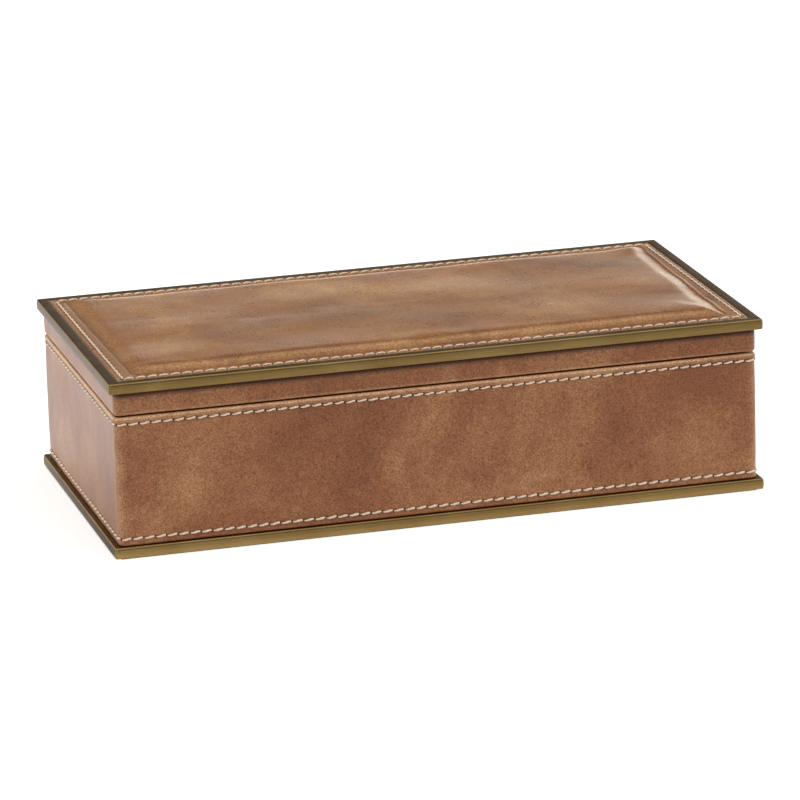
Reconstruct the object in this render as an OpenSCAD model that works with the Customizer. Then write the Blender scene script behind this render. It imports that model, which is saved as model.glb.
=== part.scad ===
// Hinged stationery box, leather over a board carcass, with mitred brass trim
// round the plinth and round the top of the lid, and a padded lid panel.
// Millimetres. Origin at the middle of the underside, +Z up, front at -Y.

/* [Overall] */
// Length over the brass trim, left to right
box_l = 305; // [240:1:400]
// Depth over the brass trim, front to back
box_w = 158.5; // [120:0.5:260]
// Height from the surface it stands on to the top of the brass
box_h = 82; // [60:0.5:140]
// Thickness of the felt pad under the plinth
felt_t = 1.2; // [0.8:0.1:2]
// How far the felt stops short of the brass edge
felt_inset = 2.6; // [1.5:0.1:6]

/* [Brass trim] */
// Width of the visible top face of a trim bar
bar_w = 5; // [4:0.1:7]
// Height of a trim bar
bar_h = 4.6; // [4:0.1:7]
// How far the brass stands out past the leather sides
overhang = 2.75; // [2.2:0.05:3.5]
// Width of the hidden screw flange of a trim bar
flange_w = 6.5; // [5.5:0.1:9]
// Thickness of the hidden screw flange
flange_t = 1.6; // [1.2:0.1:1.8]
// Rounding of the long edges of a trim bar
arris_r = 0.4; // [0.2:0.05:0.8]
// Rounding of the vertical corners of the trim
trim_corner_r = 1.3; // [0.6:0.1:2]
// Shank radius of the trim screws
screw_r = 0.9; // [0.7:0.05:1.1]
// Head radius of the trim screws
screw_head_r = 1.55; // [1.3:0.05:1.65]

/* [Carcass] */
// Thickness of the base walls
base_wall_t = 5; // [4:0.5:8]
// Thickness of the lid walls
lid_wall_t = 4; // [3.5:0.25:4]
// Height of the leather band round the lid
lid_band_h = 10.7; // [9:0.1:20]
// Gap between the base rim and the closed lid
gap = 0.9; // [0.6:0.1:1.5]
// Thickness of the lid board between the walls
lid_board_t = 3; // [2.5:0.1:4]

/* [Leather and lining] */
// Thickness of the leather on the sides
leather_t = 1.2; // [0.8:0.1:1.6]
// Thickness of the skived leather turned over the rims
turn_t = 0.8; // [0.5:0.1:1]
// Radius of the leather at the vertical corners
leather_corner_r = 2.5; // [1.5:0.1:3.5]
// Thickness of the lining cards in the base
lining_t = 1.5; // [1:0.1:2]
// How far the base lining stands above the rim to locate the lid
lip_h = 2.5; // [1.5:0.1:4]
// Thickness of the thin lining on the lid walls
lid_lining_t = 0.6; // [0.4:0.1:0.6]
// Thickness of the lining card inside the lid
lid_top_lining_t = 1.4; // [1:0.1:2]

/* [Padded panel] */
// Thickness of the card that carries the padded panel
card_t = 2; // [1.5:0.1:2.2]
// Thickness of the leather on the panel
panel_leather_t = 1.3; // [1:0.1:1.5]
// Height of the padding
pad_h = 1.6; // [1:0.1:3]
// Distance from the brass edge to the foot of the padding
pad_foot = 11.5; // [11:0.5:20]
// Width of the sloping shoulder of the padding
pad_slope = 6; // [3:0.5:12]

/* [Stitching] */
// Diameter of the sewing thread
thread_d = 0.7; // [0.4:0.05:1]
// Distance of the upper stitch line below the rim
stitch_upper = 3.6; // [2.5:0.1:6]
// Distance of the lower stitch line above the plinth
stitch_lower = 3.4; // [2.5:0.1:6]
// Distance of the lid stitch line from the brass edge
stitch_lid = 7.4; // [6.5:0.1:9.5]

/* [Hinges] */
// Distance of each hinge from the middle of the box
hinge_x = 100; // [60:1:100]
// Length of the hinge barrel
hinge_len = 32; // [28:1:40]
// Radius of the hinge barrel
barrel_r = 1.75; // [1.6:0.05:1.8]
// Radius of the hinge pin
pin_r = 0.75; // [0.6:0.05:0.8]
// Running clearance between the pin and the moving knuckle
pin_clear = 0.05; // [0.02:0.01:0.09]
// Largest opening angle allowed by the stop faces of the hinges
open_angle = 100; // [90:1:105]

/* [Hidden] */
$fn = 48;

// colours
c_brass = [0.52, 0.43, 0.28];
c_leather = [0.57, 0.37, 0.25];
c_thread = [0.90, 0.82, 0.71];
c_board = [0.72, 0.58, 0.42];
c_lining = [0.78, 0.70, 0.58];
c_felt = [0.20, 0.17, 0.14];
c_foam = [0.86, 0.84, 0.78];

// outer leather faces and what lies behind them, as half sizes
lx = box_l/2 - overhang;
ly = box_w/2 - overhang;
wx = lx - leather_t;
wy = ly - leather_t;
bix = wx - base_wall_t;
biy = wy - base_wall_t;
lix = wx - lid_wall_t;
liy = wy - lid_wall_t;

// levels, from the bottom up
z_trim0 = felt_t;
z_plinth = z_trim0 + bar_h;
z_trim1 = box_h - bar_h;
z_lid = z_trim1 - lid_band_h;
z_rim = z_lid - gap;
z_base_wall = z_rim - turn_t;
z_lid_wall = z_lid + turn_t;
z_floor = z_plinth + lining_t;
z_lip = z_rim + lip_h;
z_board = z_trim1 - lid_board_t;
z_lid_lining = z_board - lid_top_lining_t;
z_card = z_trim1 + flange_t;
z_card1 = z_card + card_t;
z_panel = z_card1 + panel_leather_t;
z_top = z_panel + pad_h;

// trim: distance from the brass edge to the inner end of the flange
trim_in = bar_w + flange_w;
// distance from the brass edge to the screw line
screw_in = 6.7;
screw_x = [-130, -65, 0, 65, 130];
screw_y = [-45, 0, 45];
screw_s = box_l/305;
screw_t = box_w/158.5;

// hinge axis
hy = ly + 0.9;
hz = (z_rim + z_lid)/2;
leaf_t = 1.2;
leaf_screw_x = [-11, 0, 11];
leaf_screw_r = 0.75;
leaf_head_r = 1.35;
notch_r = barrel_r + 0.2;
leaf_in_base = 5.4;
leaf_in_lid = 4.7;
knuckle_gap = 0.1;

// ---------- shared shapes ----------

// rectangle with round corners, centred
module round_rect(hx, hy_, r) {
    square([2*hx - 2*r, 2*hy_], center = true);
    square([2*hx, 2*hy_ - 2*r], center = true);
    for (sx = [-1, 1], sy = [-1, 1])
        translate([sx*(hx - r), sy*(hy_ - r)]) circle(r = r);
}

// upright slab with half sizes and two levels
module slab(hx, hy_, z0, z1) {
    translate([-hx, -hy_, z0]) cube([2*hx, 2*hy_, z1 - z0]);
}

// upright box from two corners
module block(x0, x1, y0, y1, z0, z1) {
    translate([x0, y0, z0]) cube([x1 - x0, y1 - y0, z1 - z0]);
}

module round_slab(hx, hy_, r, z0, z1) {
    translate([0, 0, z0]) linear_extrude(z1 - z0) round_rect(hx, hy_, r);
}

// countersunk wood screw, head face at z = 0, pointing down
module wood_screw(r, head_r, len) {
    difference() {
        union() {
            translate([0, 0, -(head_r - r)]) cylinder(r1 = r, r2 = head_r, h = head_r - r);
            translate([0, 0, -len]) cylinder(r = r, h = len - (head_r - r) + 0.01);
        }
        // slot across the head
        translate([-head_r, -0.15, -0.3]) cube([2*head_r, 0.3, 0.4]);
    }
}

// the space that screw takes
module screw_hole(r, head_r, len) {
    translate([0, 0, -(head_r - r)]) cylinder(r1 = r, r2 = head_r, h = head_r - r);
    translate([0, 0, -len]) cylinder(r = r, h = len - (head_r - r) + 0.01);
}

// section of a trim bar: rounded head and thin screw flange,
// y from the brass edge inwards, z from the bar's underside
module bar_section() {
    r = arris_r;
    translate([r, 0]) square([bar_w - r, bar_h - r]);
    translate([0, r]) square([bar_w, bar_h - 2*r]);
    translate([r, bar_h - r - 0.01]) square([bar_w - 2*r, r + 0.01]);
    translate([r, r]) circle(r = r);
    translate([r, bar_h - r]) circle(r = r);
    translate([bar_w - r, bar_h - r]) circle(r = r);
    translate([bar_w - 0.01, 0]) square([flange_w + 0.01, flange_t]);
}

// one mitred trim bar along X whose outer face is at y = -w/2
module trim_bar(l, w, xs) {
    difference() {
        intersection() {
            translate([-l/2, -w/2, 0]) rotate([90, 0, 90]) linear_extrude(l) bar_section();
            linear_extrude(bar_h)
                polygon([[-l/2, -w/2], [l/2, -w/2], [l/2 - trim_in, -w/2 + trim_in], [-l/2 + trim_in, -w/2 + trim_in]]);
            linear_extrude(bar_h) round_rect(l/2, w/2, trim_corner_r);
        }
        for (x = xs) translate([x, -w/2 + screw_in, 0]) children();
    }
}

module trim_bars(side, xs, ys) {
    if (side == "front") trim_bar(box_l, box_w, xs) children();
    if (side == "back") rotate(180) trim_bar(box_l, box_w, xs) children();
    if (side == "left") rotate(-90) trim_bar(box_w, box_l, ys) children();
    if (side == "right") rotate(90) trim_bar(box_w, box_l, ys) children();
}

// every trim screw position
module at_trim_screws() {
    for (x = screw_x, s = [-1, 1]) translate([x*screw_s, s*(box_w/2 - screw_in), 0]) children();
    for (y = screw_y, s = [-1, 1]) translate([s*(box_l/2 - screw_in), y*screw_t, 0]) children();
}

base_screw_len = flange_t + (bar_h - flange_t) + 7;
lid_screw_len = flange_t + 6.5;

module base_screw_holes() {
    translate([0, 0, z_trim0]) at_trim_screws() mirror([0, 0, 1]) screw_hole(screw_r, screw_head_r, base_screw_len);
}

module lid_screw_holes() {
    translate([0, 0, z_card]) at_trim_screws() screw_hole(screw_r, screw_head_r, lid_screw_len);
}

module at_hinges() {
    for (s = [-1, 1]) translate([s*hinge_x, 0, 0]) children();
}

// ring that follows a rounded rectangle
module ring(hx, hy_, r, t, z0, z1) {
    difference() {
        round_slab(hx, hy_, r, z0, z1);
        round_slab(hx - t, hy_ - t, r - t, z0 - 1, z1 + 1);
    }
}

// ---------- base ----------

module felt_pad() {
    color(c_felt) slab(box_l/2 - felt_inset, box_w/2 - felt_inset, 0, felt_t);
}

module base_trim(side) {
    xs = [for (x = screw_x) x*screw_s];
    ys = [for (y = screw_y) y*screw_t];
    color(c_brass) translate([0, 0, z_trim0]) trim_bars(side, xs, ys)
        mirror([0, 0, 1]) screw_hole(screw_r, screw_head_r, base_screw_len);
}

module base_trim_screws() {
    color(c_brass) translate([0, 0, z_trim0]) at_trim_screws()
        mirror([0, 0, 1]) wood_screw(screw_r, screw_head_r, base_screw_len);
}

// rebated board: the middle drops between the screw flanges
module base_board() {
    color(c_board) difference() {
        union() {
            slab(box_l/2 - bar_w, box_w/2 - bar_w, z_trim0 + flange_t, z_plinth);
            slab(box_l/2 - trim_in, box_w/2 - trim_in, z_trim0, z_plinth);
        }
        base_screw_holes();
    }
}

module base_wall(side) {
    color(c_board) difference() {
        union() {
            if (side == "front") block(-wx, wx, -wy, -biy, z_plinth, z_base_wall);
            if (side == "back") block(-wx, wx, biy, wy, z_plinth, z_base_wall);
            if (side == "left") block(-wx, -bix, -biy, biy, z_plinth, z_base_wall);
            if (side == "right") block(bix, wx, -biy, biy, z_plinth, z_base_wall);
        }
        base_screw_holes();
        if (side == "back") base_hinge_recess();
    }
}

// pocket for the base leaf and its screws
module base_hinge_recess() {
    at_hinges() {
        block(-hinge_len/2, hinge_len/2, ly - leaf_in_base, ly + 1, z_rim - leaf_t, z_rim + 1);
        block(-hinge_len/2, hinge_len/2, wy, ly + 1, hz - notch_r, z_rim + 1);
        for (x = leaf_screw_x) translate([x, hy - 4.4, z_rim]) screw_hole(leaf_screw_r, leaf_head_r, 9);
    }
}

// leather round the walls, turned in over the rim, with a shallow
// groove for each line of stitching
module base_leather() {
    color(c_leather) difference() {
        round_slab(lx, ly, leather_corner_r, z_plinth, z_rim);
        slab(wx, wy, z_plinth - 1, z_base_wall);
        slab(bix, biy, z_plinth - 1, z_rim + 1);
        for (z = [z_rim - stitch_upper, z_plinth + stitch_lower])
            difference() {
                slab(lx + 1, ly + 1, z - thread_d/2, z + thread_d/2);
                round_slab(lx - 0.4, ly - 0.4, leather_corner_r - 0.4, z - thread_d, z + thread_d);
            }
        base_hinge_recess();
    }
}

module base_thread(z) {
    color(c_thread) ring(lx + 0.2, ly + 0.2, leather_corner_r + 0.2, 0.6, z - thread_d/2, z + thread_d/2);
}

module base_thread_upper() { base_thread(z_rim - stitch_upper); }
module base_thread_lower() { base_thread(z_plinth + stitch_lower); }

module base_lining_floor() {
    color(c_lining) slab(bix, biy, z_plinth, z_floor);
}

module base_lining(side) {
    t = lining_t;
    color(c_lining) {
        if (side == "front") block(-bix, bix, -biy, -biy + t, z_floor, z_lip);
        if (side == "back") block(-bix, bix, biy - t, biy, z_floor, z_lip);
        if (side == "left") block(-bix, -bix + t, -biy + t, biy - t, z_floor, z_lip);
        if (side == "right") block(bix - t, bix, -biy + t, biy - t, z_floor, z_lip);
    }
}

// ---------- hinges ----------
// Drawn round the pin axis, with y and z measured from it. The barrel is
// divided along x into knuckle, stop, knuckle, stop, knuckle.

k_end = hinge_len*0.22;
k_stop = hinge_len*0.09;
k_mid = hinge_len - 2*k_end - 2*k_stop;

module along(x0, x1) {
    translate([x0, 0, 0]) rotate([90, 0, 90]) linear_extrude(x1 - x0) children();
}

// half barrel of a stop: its end face meets the other half at open_angle
module stop_half(s, bore_r) {
    a = open_angle/2 + 0.9;
    difference() {
        circle(r = barrel_r);
        circle(r = bore_r);
        // open towards the box, level with the leaf's face
        translate([-4, s > 0 ? -4 : -gap/2]) square([4, 4 + gap/2]);
        // the wedge that lets the lid swing
        polygon([[0, 0], [6*cos(a), s*6*sin(a)], [6, -s*6], [0, -s*6]]);
    }
}

module hinge_leaf(s, reach, bore_r, ends) {
    h = hinge_len/2;
    g = knuckle_gap/2;
    z0 = s > 0 ? gap/2 : -gap/2 - leaf_t;
    difference() {
        union() {
            // plate, stopping clear of the other leaf's knuckles
            translate([-h, -0.9 - reach, z0]) cube([hinge_len, reach + 0.9 - notch_r, leaf_t]);
            // knuckles that belong to this leaf
            for (k = ends ? [[-h, -h + k_end - g], [h - k_end + g, h]] : [[-k_mid/2 + g, k_mid/2 - g]]) {
                along(k[0], k[1]) difference() {
                    union() {
                        circle(r = barrel_r);
                        translate([-notch_r - 0.5, z0]) square([notch_r + 0.5, leaf_t]);
                    }
                    circle(r = bore_r);
                }
            }
            // stops between the knuckles
            for (k = [[-h + k_end + g, -k_mid/2 - g], [k_mid/2 + g, h - k_end - g]])
                along(k[0], k[1]) {
                    stop_half(s, bore_r);
                    difference() {
                        translate([-notch_r - 0.5, z0]) square([notch_r + 0.5, leaf_t]);
                        circle(r = bore_r);
                    }
                }
        }
        for (x = leaf_screw_x)
            translate([x, -(s > 0 ? 4.1 : 4.4), s*gap/2]) mirror([0, 0, s > 0 ? 1 : 0])
                screw_hole(leaf_screw_r, leaf_head_r, 9);
    }
}

module hinge_base_leaf(x) {
    color(c_brass) translate([x, hy, hz]) hinge_leaf(-1, leaf_in_base, pin_r, true);
}

module hinge_lid_leaf(x) {
    color(c_brass) translate([x, hy, hz]) hinge_leaf(1, leaf_in_lid, pin_r + pin_clear, false);
}

module hinge_pin(x) {
    color(c_brass) translate([x - hinge_len/2, hy, hz]) rotate([0, 90, 0]) cylinder(r = pin_r, h = hinge_len);
}

module hinge_base_screws() {
    color(c_brass) at_hinges() for (x = leaf_screw_x)
        translate([x, hy - 4.4, z_rim]) wood_screw(leaf_screw_r, leaf_head_r, 9);
}

module hinge_lid_screws() {
    color(c_brass) at_hinges() for (x = leaf_screw_x)
        translate([x, hy - 4.1, z_lid]) mirror([0, 0, 1]) wood_screw(leaf_screw_r, leaf_head_r, 7);
}

// ---------- lid ----------

// board between the lid walls, its upper part fitting between the flanges
module lid_board() {
    color(c_board) union() {
        slab(lix, liy, z_board, z_trim1);
        slab(box_l/2 - trim_in, box_w/2 - trim_in, z_board, z_card);
    }
}

// pocket for the lid leaf and its screws
module lid_hinge_recess() {
    at_hinges() {
        block(-hinge_len/2, hinge_len/2, ly - leaf_in_lid, ly + 1, z_lid - 1, z_lid + leaf_t);
        block(-hinge_len/2, hinge_len/2, wy, ly + 1, z_lid - 1, hz + notch_r);
        for (x = leaf_screw_x) translate([x, hy - 4.1, z_lid]) mirror([0, 0, 1])
            screw_hole(leaf_screw_r, leaf_head_r, 7);
    }
}

module lid_wall(side) {
    color(c_board) difference() {
        union() {
            if (side == "front") block(-wx, wx, -wy, -liy, z_lid_wall, z_trim1);
            if (side == "back") block(-wx, wx, liy, wy, z_lid_wall, z_trim1);
            if (side == "left") block(-wx, -lix, -liy, liy, z_lid_wall, z_trim1);
            if (side == "right") block(lix, wx, -liy, liy, z_lid_wall, z_trim1);
        }
        lid_screw_holes();
        if (side == "back") lid_hinge_recess();
    }
}

// leather round the lid walls, turned in under them
module lid_leather_band() {
    color(c_leather) difference() {
        round_slab(lx, ly, leather_corner_r, z_lid, z_trim1);
        slab(wx, wy, z_lid_wall, z_trim1 + 1);
        slab(lix, liy, z_lid - 1, z_trim1 + 1);
        lid_hinge_recess();
    }
}

module lid_trim(side) {
    xs = [for (x = screw_x) x*screw_s];
    ys = [for (y = screw_y) y*screw_t];
    color(c_brass) translate([0, 0, z_trim1]) trim_bars(side, xs, ys)
        translate([0, 0, flange_t]) screw_hole(screw_r, screw_head_r, lid_screw_len);
}

module lid_trim_screws() {
    color(c_brass) translate([0, 0, z_card]) at_trim_screws() wood_screw(screw_r, screw_head_r, lid_screw_len);
}

module lid_panel_card() {
    color(c_board) slab(box_l/2 - bar_w - panel_leather_t, box_w/2 - bar_w - panel_leather_t, z_card, z_card1);
}

// shallow frustum with a foot inset from the brass edge
module pad_form(foot, slope, z0, z1) {
    fx = box_l/2 - foot;
    fy = box_w/2 - foot;
    hull() {
        translate([-fx, -fy, z0]) cube([2*fx, 2*fy, 0.01]);
        translate([-fx + slope, -fy + slope, z1 - 0.01]) cube([2*(fx - slope), 2*(fy - slope), 0.01]);
    }
}

module lid_panel_foam() {
    color(c_foam) pad_form(pad_foot + 0.6, pad_slope, z_card1, z_card1 + pad_h);
}

// leather stretched over the card and the padding
module lid_panel_leather() {
    px = box_l/2 - bar_w;
    py = box_w/2 - bar_w;
    zt = z_panel;
    color(c_leather) difference() {
        union() {
            slab(px, py, z_card, zt);
            pad_form(pad_foot, pad_slope, zt - 0.1, z_top);
        }
        slab(px - panel_leather_t, py - panel_leather_t, z_card - 1, z_card1);
        slab(box_l/2 - pad_foot - 0.6, box_w/2 - pad_foot - 0.6, z_card1 - 0.5, z_card1 + 0.005);
        pad_form(pad_foot + 0.6, pad_slope, z_card1, z_card1 + pad_h);
        // groove for the stitching
        difference() {
            slab(box_l/2 - stitch_lid, box_w/2 - stitch_lid, zt - 0.4, zt + 1);
            slab(box_l/2 - stitch_lid - thread_d, box_w/2 - stitch_lid - thread_d, zt - 2, zt + 2);
        }
    }
}

module lid_thread() {
    color(c_thread) difference() {
        slab(box_l/2 - stitch_lid, box_w/2 - stitch_lid, z_panel - 0.4, z_panel + 0.2);
        slab(box_l/2 - stitch_lid - thread_d, box_w/2 - stitch_lid - thread_d, z_panel - 2, z_panel + 2);
    }
}

module lid_lining_top() {
    color(c_lining) slab(lix, liy, z_lid_lining, z_board);
}

module lid_lining(side) {
    t = lid_lining_t;
    color(c_lining) {
        if (side == "front") block(-lix, lix, -liy, -liy + t, z_lid_wall, z_lid_lining);
        if (side == "back") block(-lix, lix, liy - t, liy, z_lid_wall, z_lid_lining);
        if (side == "left") block(-lix, -lix + t, -liy + t, liy - t, z_lid_wall, z_lid_lining);
        if (side == "right") block(lix - t, lix, -liy + t, liy - t, z_lid_wall, z_lid_lining);
    }
}

// ---------- assembly ----------

felt_pad();
base_trim("front");  // base_trim_front
base_trim("back");  // base_trim_back
base_trim("left");  // base_trim_left
base_trim("right");  // base_trim_right
base_trim_screws();
base_board();
base_wall("front");  // base_wall_front
base_wall("back");  // base_wall_back
base_wall("left");  // base_wall_left
base_wall("right");  // base_wall_right
base_leather();
base_thread_upper();
base_thread_lower();
base_lining_floor();
base_lining("front");  // base_lining_front
base_lining("back");  // base_lining_back
base_lining("left");  // base_lining_left
base_lining("right");  // base_lining_right
hinge_base_leaf(-hinge_x);  // hinge_left_base_leaf
hinge_base_leaf(hinge_x);  // hinge_right_base_leaf
hinge_pin(-hinge_x);  // hinge_left_pin
hinge_pin(hinge_x);  // hinge_right_pin
hinge_base_screws();
lid_board();
lid_wall("front");  // lid_wall_front
lid_wall("back");  // lid_wall_back
lid_wall("left");  // lid_wall_left
lid_wall("right");  // lid_wall_right
lid_leather_band();
lid_trim("front");  // lid_trim_front
lid_trim("back");  // lid_trim_back
lid_trim("left");  // lid_trim_left
lid_trim("right");  // lid_trim_right
lid_trim_screws();
lid_panel_card();
lid_panel_foam();
lid_panel_leather();
lid_thread();
lid_lining_top();
lid_lining("front");  // lid_lining_front
lid_lining("back");  // lid_lining_back
lid_lining("left");  // lid_lining_left
lid_lining("right");  // lid_lining_right
hinge_lid_leaf(-hinge_x);  // hinge_left_lid_leaf
hinge_lid_leaf(hinge_x);  // hinge_right_lid_leaf
hinge_lid_screws();
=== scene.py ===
import math

import bmesh
import bpy
import numpy as np
from mathutils import Matrix, Vector


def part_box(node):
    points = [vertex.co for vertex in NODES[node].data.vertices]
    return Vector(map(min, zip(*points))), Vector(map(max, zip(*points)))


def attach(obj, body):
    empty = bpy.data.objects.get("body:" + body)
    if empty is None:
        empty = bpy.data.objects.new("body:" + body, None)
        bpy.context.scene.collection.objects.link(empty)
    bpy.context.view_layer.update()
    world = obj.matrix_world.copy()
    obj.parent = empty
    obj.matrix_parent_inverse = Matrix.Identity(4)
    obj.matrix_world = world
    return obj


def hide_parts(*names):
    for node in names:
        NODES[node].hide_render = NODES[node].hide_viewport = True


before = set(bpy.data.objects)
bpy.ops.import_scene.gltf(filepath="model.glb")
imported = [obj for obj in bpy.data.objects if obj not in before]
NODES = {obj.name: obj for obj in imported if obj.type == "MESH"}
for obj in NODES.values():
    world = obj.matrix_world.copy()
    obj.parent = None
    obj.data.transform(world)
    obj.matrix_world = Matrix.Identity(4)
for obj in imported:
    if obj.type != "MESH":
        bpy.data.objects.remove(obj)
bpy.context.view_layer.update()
SCENE = bpy.context.scene

# ------------------------------------------------------------------ camera
# In the row's frame, metres. The lens is long and the eye stands to the left
# of the front, looking 16 degrees down, with a slight roll.
cam_data = bpy.data.cameras.new("camera")
cam_data.lens = 235.53
cam_data.sensor_width = 36.0
cam_data.clip_start, cam_data.clip_end = 0.1, 60.0
cam = bpy.data.objects.new("camera", cam_data)
cam.location = (-0.60518, -2.26119, 0.70873)
cam.rotation_euler = [math.radians(a) for a in (74.00723, 1.61135, -15.48270)]
SCENE.collection.objects.link(cam)
SCENE.camera = cam

# ------------------------------------------------------------------ sizes, mm
L, W, H = 305.0, 158.5, 82.0
BX, BY = L / 2, W / 2                      # brass edge
OVER = 2.25
LX, LY = BX - OVER, BY - OVER              # leather face
Z_TRIM0, Z_PLINTH = 1.15, 6.1
Z_RIM, Z_LID, Z_TRIM1 = 65.7, 66.6, 77.3
Z_PANEL = 81.95
BAR_W, BAR_H, BAR_EX = 5.0, 4.8, 0.25
HY, HZ = 77.4, 66.25
HINGE_X, HINGE_LEN = 100.0, 32.0
PITCH_N = 172                              # stitches round the base
RNG = np.random.RandomState


# ------------------------------------------------------------------ helpers
def smooth(a, b, x):
    t = np.clip((np.asarray(x, float) - a) / (b - a), 0, 1)
    return t * t * (3 - 2 * t)


def bump(x, w):
    return np.exp(-(np.asarray(x) / w) ** 2)


class Waves:
    """A smooth random field: a sum of plane waves with a fixed seed."""

    def __init__(self, seed, size, n=14):
        r = RNG(seed)
        d = r.normal(size=(n, 3))
        d /= np.linalg.norm(d, axis=1)[:, None]
        self.k = d * (2 * math.pi / (size * r.uniform(0.6, 1.7, n)))[:, None]
        self.p = r.uniform(0, 2 * math.pi, n)
        self.a = r.uniform(0.5, 1.0, n)
        self.a /= np.sqrt((self.a ** 2).sum() / 2)

    def __call__(self, x, y, z):
        out = 0
        for k, p, a in zip(self.k, self.p, self.a):
            out = out + a * np.sin(k[0] * x + k[1] * y + k[2] * z + p)
        return out


def plan(hx, hy, r, n, nc):
    """Samples of a closed rounded rectangle, anticlockwise from above, from
    the middle of the back. Returns corner factors u, normals, and length s."""
    ex, ey, arc = 2 * (hx - r), 2 * (hy - r), math.pi * r / 2
    total = 2 * ex + 2 * ey + 4 * arc
    per = (n - 4 * nc) / (2 * ex + 2 * ey)
    nx = int(round(ex * per / 2)) * 2
    ny = (n - 4 * nc - 2 * nx) // 2
    u, nn, s = [], [], []

    def straight(ax, ay, bx, by, nrm, cnt, s0, ln):
        for i in range(cnt):
            t = i / cnt
            u.append((ax + (bx - ax) * t, ay + (by - ay) * t))
            nn.append(nrm)
            s.append(s0 + ln * t)

    def corner(cx, cy, a0, s0):
        for i in range(nc):
            a = a0 + math.pi / 2 * i / nc
            u.append((cx, cy))
            nn.append((math.cos(a), math.sin(a)))
            s.append(s0 + arc * i / nc)

    p = math.pi
    straight(0, 1, -1, 1, (0, 1), nx // 2, 0, ex / 2)
    corner(-1, 1, p / 2, ex / 2)
    straight(-1, 1, -1, -1, (-1, 0), ny, ex / 2 + arc, ey)
    corner(-1, -1, p, ex / 2 + arc + ey)
    straight(-1, -1, 1, -1, (0, -1), nx, ex / 2 + 2 * arc + ey, ex)
    corner(1, -1, -p / 2, 1.5 * ex + 2 * arc + ey)
    straight(1, -1, 1, 1, (1, 0), ny, 1.5 * ex + 3 * arc + ey, ey)
    corner(1, 1, 0, 1.5 * ex + 3 * arc + 2 * ey)
    straight(1, 1, 0, 1, (0, 1), nx // 2, 1.5 * ex + 4 * arc + 2 * ey, ex / 2)
    return np.array(u), np.array(nn), np.array(s), total


def point_on(s, hx, hy, r):
    """Place and outward normal at length s along that same path."""
    ex, ey, arc = 2 * (hx - r), 2 * (hy - r), math.pi * r / 2
    total = 2 * ex + 2 * ey + 4 * arc
    s = s % total
    runs = [
        (ex / 2, (0, hy), (-1, 0), None), (arc, (-hx + r, hy - r), None, math.pi / 2),
        (ey, (-hx, hy - r), (0, -1), None), (arc, (-hx + r, -hy + r), None, math.pi),
        (ex, (-hx + r, -hy), (1, 0), None), (arc, (hx - r, -hy + r), None, -math.pi / 2),
        (ey, (hx, -hy + r), (0, 1), None), (arc, (hx - r, hy - r), None, 0.0),
        (ex / 2, (hx - r, hy), (-1, 0), None),
    ]
    for ln, o, d, a0 in runs:
        if s <= ln + 1e-9:
            if d is not None:
                return (o[0] + d[0] * s, o[1] + d[1] * s), (d[1], -d[0])
            a = a0 + s / r
            return (o[0] + r * math.cos(a), o[1] + r * math.sin(a)), (math.cos(a), math.sin(a))
        s -= ln
    return (0, hy), (0, 1)


def ring_rows(u, nn, hx, hy, r, offs):
    """x and y of every row of a sweep: one row per outward offset."""
    offs = np.asarray(offs, float)
    if offs.ndim == 1:
        offs = offs[:, None]
    rr = np.maximum(r + offs, 0.25)
    x = u[:, 0][None] * (hx + offs - rr) + nn[:, 0][None] * rr
    y = u[:, 1][None] * (hy + offs - rr) + nn[:, 1][None] * rr
    return x, y


def grid_faces(rows, cols, close_rows=False, close_cols=True):
    i = np.arange(rows if close_rows else rows - 1)
    j = np.arange(cols if close_cols else cols - 1)
    a = i[:, None] * cols + j[None]
    b = i[:, None] * cols + (j[None] + 1) % cols
    c = ((i[:, None] + 1) % rows) * cols + (j[None] + 1) % cols
    d = ((i[:, None] + 1) % rows) * cols + j[None]
    return np.stack([a, b, c, d], -1).reshape(-1, 4)


def make_mesh(name, verts_mm, faces, smooth_shade=True, attrs=None, uv=None):
    me = bpy.data.meshes.new(name)
    v = np.asarray(verts_mm, float).reshape(-1, 3) * 0.001
    if isinstance(faces, np.ndarray):
        n, k = faces.shape
        me.vertices.add(len(v))
        me.vertices.foreach_set("co", v.astype(np.float32).ravel())
        me.loops.add(n * k)
        me.loops.foreach_set("vertex_index", faces.astype(np.int32).ravel())
        me.polygons.add(n)
        me.polygons.foreach_set("loop_start", (np.arange(n) * k).astype(np.int32))
        me.update(calc_edges=True)
    else:
        me.from_pydata([tuple(p) for p in v], [], faces)
    me.validate()
    me.polygons.foreach_set("use_smooth", [smooth_shade] * len(me.polygons))
    for key, val in (attrs or {}).items():
        a = me.attributes.new(key, "FLOAT", "POINT")
        a.data.foreach_set("value", np.asarray(val, np.float32).ravel())
    if uv is not None:
        layer = me.uv_layers.new(name="UVMap")
        idx = np.empty(len(me.loops), np.int32)
        me.loops.foreach_get("vertex_index", idx)
        layer.data.foreach_set("uv", np.asarray(uv, np.float32).reshape(-1, 2)[idx].ravel())
    ob = bpy.data.objects.new(name, me)
    SCENE.collection.objects.link(ob)
    return ob


def place(ob, body, slot, mat, *nodes):
    ob.data.materials.clear()
    ob.data.materials.append(mat)
    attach(ob, body)
    if nodes:
        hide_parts(*nodes)
    return ob


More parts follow.
